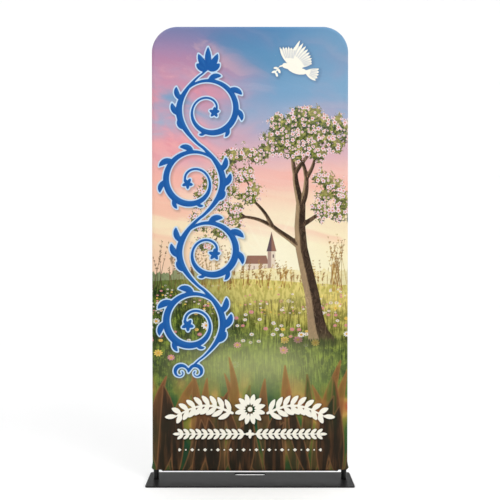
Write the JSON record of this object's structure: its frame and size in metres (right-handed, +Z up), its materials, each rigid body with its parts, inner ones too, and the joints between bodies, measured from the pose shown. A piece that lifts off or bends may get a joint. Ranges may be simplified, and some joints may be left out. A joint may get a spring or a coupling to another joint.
{
  "type": "church banner with tube frame stand",
  "caption": "Upright church banner: a printed stretch cloth sleeve with rounded top corners on a tube frame, standing on posts on a flat steel plate with a hand slot.",
  "frame": {"origin": "middle of the plate's underside, where the banner stands on the floor", "axes": "+Z up along the banner, the printed panel faces -Y, and +X runs to the right for someone who looks at the print"},
  "size_m": [0.958, 0.25, 2.12],
  "materials": {
    "coated_steel": "satin",
    "black_paint": "satin",
    "frame_tube": "satin",
    "printed_cloth": "matte",
    "plain_cloth": "matte"
  },
  "bodies": {
    "root": {"base_plate": "coated_steel", "post_left": "black_paint", "post_right": "black_paint", "frame_upright_left": "frame_tube", "frame_upright_right": "frame_tube", "frame_corner_left": "frame_tube", "frame_corner_right": "frame_tube", "frame_top_rail": "frame_tube", "frame_bottom_rail": "frame_tube", "cover_front": "printed_cloth", "cover_back": "plain_cloth"}
  },
  "joints": []
}
